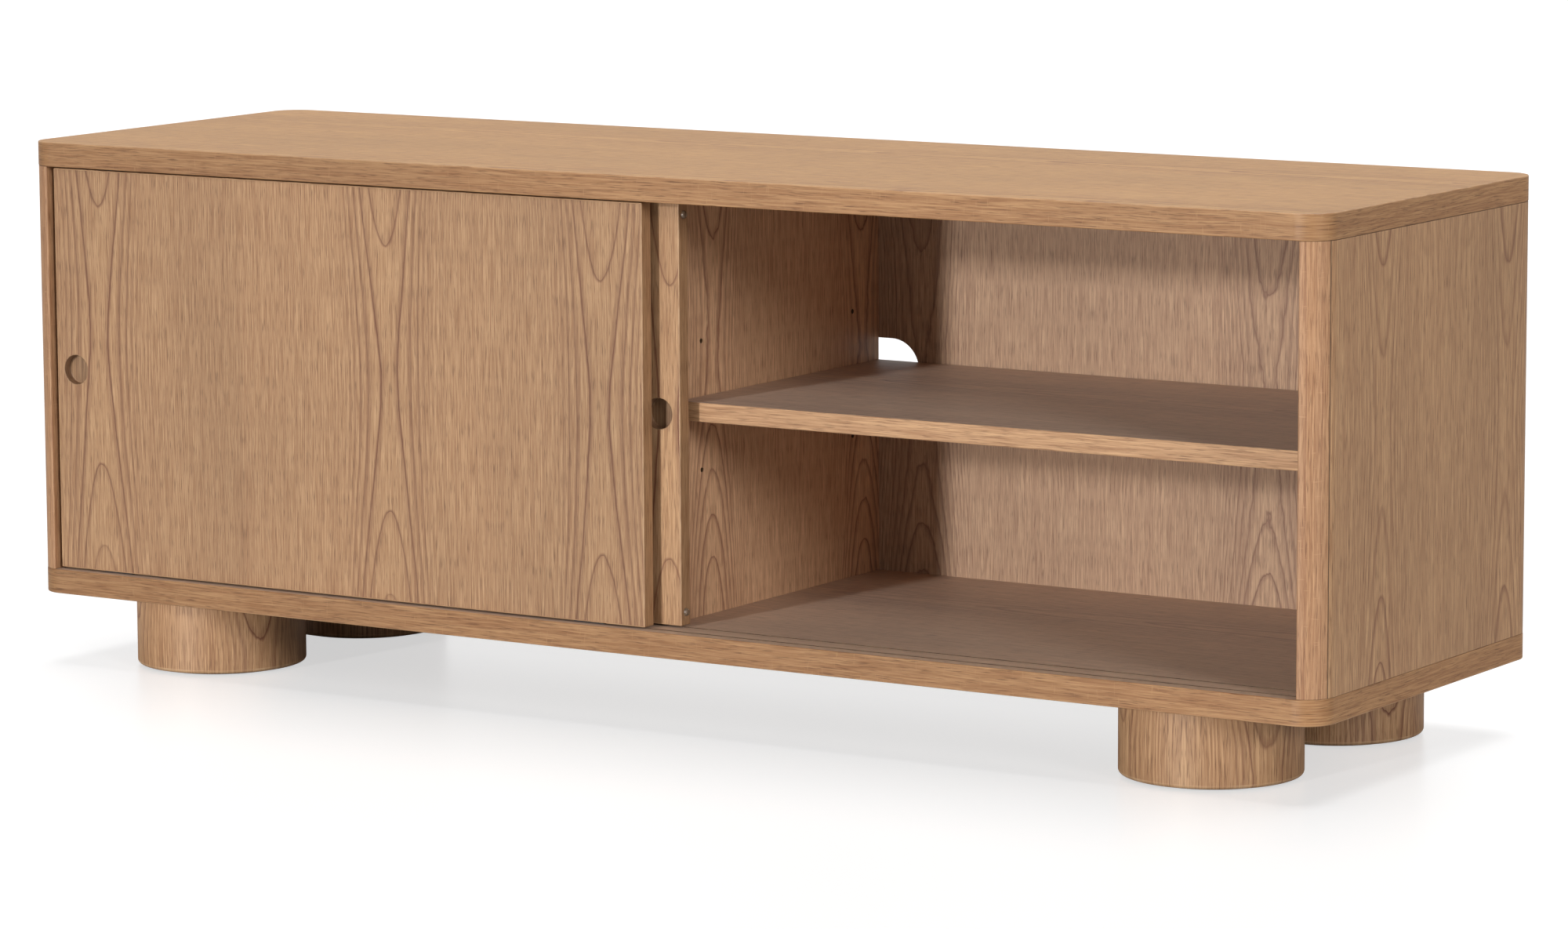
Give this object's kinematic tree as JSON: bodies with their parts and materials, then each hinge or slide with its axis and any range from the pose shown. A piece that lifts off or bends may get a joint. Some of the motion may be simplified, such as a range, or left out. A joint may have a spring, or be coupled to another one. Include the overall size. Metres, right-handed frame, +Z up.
{
  "type": "tv stand with sliding doors",
  "caption": "Low wide media cabinet with rounded corners, two bypass sliding doors with round finger pulls, open shelved bays, cable slot and round drum feet.",
  "frame": {"origin": "centre of the footprint on the floor, below the middle of the body", "axes": "+X to the right along the width as seen from the front, +Y from the front to the back, +Z up"},
  "size_m": [1.5, 0.45, 0.545],
  "materials": {
    "oak_veneer": "matt lacquered oak veneer on board, grain along the width on panels and shelves, upright elsewhere",
    "solid_oak": "matt lacquered solid oak",
    "zinc_steel": "bright zinc plated steel",
    "black_nylon": "moulded black nylon",
    "clear_gel": "clear polyurethane bumpers",
    "felt": "pressed felt"
  },
  "bodies": {
    "carcass": {"top_panel": "oak_veneer", "bottom_panel": "oak_veneer", "left_side_panel": "oak_veneer", "right_side_panel": "oak_veneer", "front_left_post": "solid_oak", "front_right_post": "solid_oak", "rear_left_post": "solid_oak", "rear_right_post": "solid_oak", "centre_divider": "oak_veneer", "back_panel": "oak_veneer", "back_panel_screws": "zinc_steel", "left_shelf": "oak_veneer", "right_shelf": "oak_veneer", "left_shelf_pins": "zinc_steel", "right_shelf_pins": "zinc_steel", "front_left_foot": "oak_veneer", "front_right_foot": "oak_veneer", "rear_left_foot": "oak_veneer", "rear_right_foot": "oak_veneer", "foot_bolts": "zinc_steel", "foot_insert_nuts": "zinc_steel", "foot_dowels": "solid_oak", "foot_pads": "felt", "top_dowels": "solid_oak", "bottom_dowels": "solid_oak", "top_cam_bolts": "zinc_steel", "bottom_cam_bolts": "zinc_steel", "top_cam_locks": "zinc_steel", "bottom_cam_locks": "zinc_steel"},
    "front_door_unit": {"front_door": "oak_veneer", "front_door_glides": "black_nylon", "front_door_top_guides": "black_nylon", "front_door_bumpers": "clear_gel"},
    "rear_door_unit": {"rear_door": "oak_veneer", "rear_door_glides": "black_nylon", "rear_door_top_guides": "black_nylon", "rear_door_bumpers": "clear_gel"}
  },
  "joints": [
    {"name": "front_door_slide", "type": "slide", "parent": "carcass", "child": "front_door_unit", "axis": [1, 0, 0], "range_m": [0, 0.717]},
    {"name": "rear_door_slide", "type": "slide", "parent": "carcass", "child": "rear_door_unit", "axis": [1, 0, 0], "range_m": [-0.0295, 0.6875]}
  ]
}
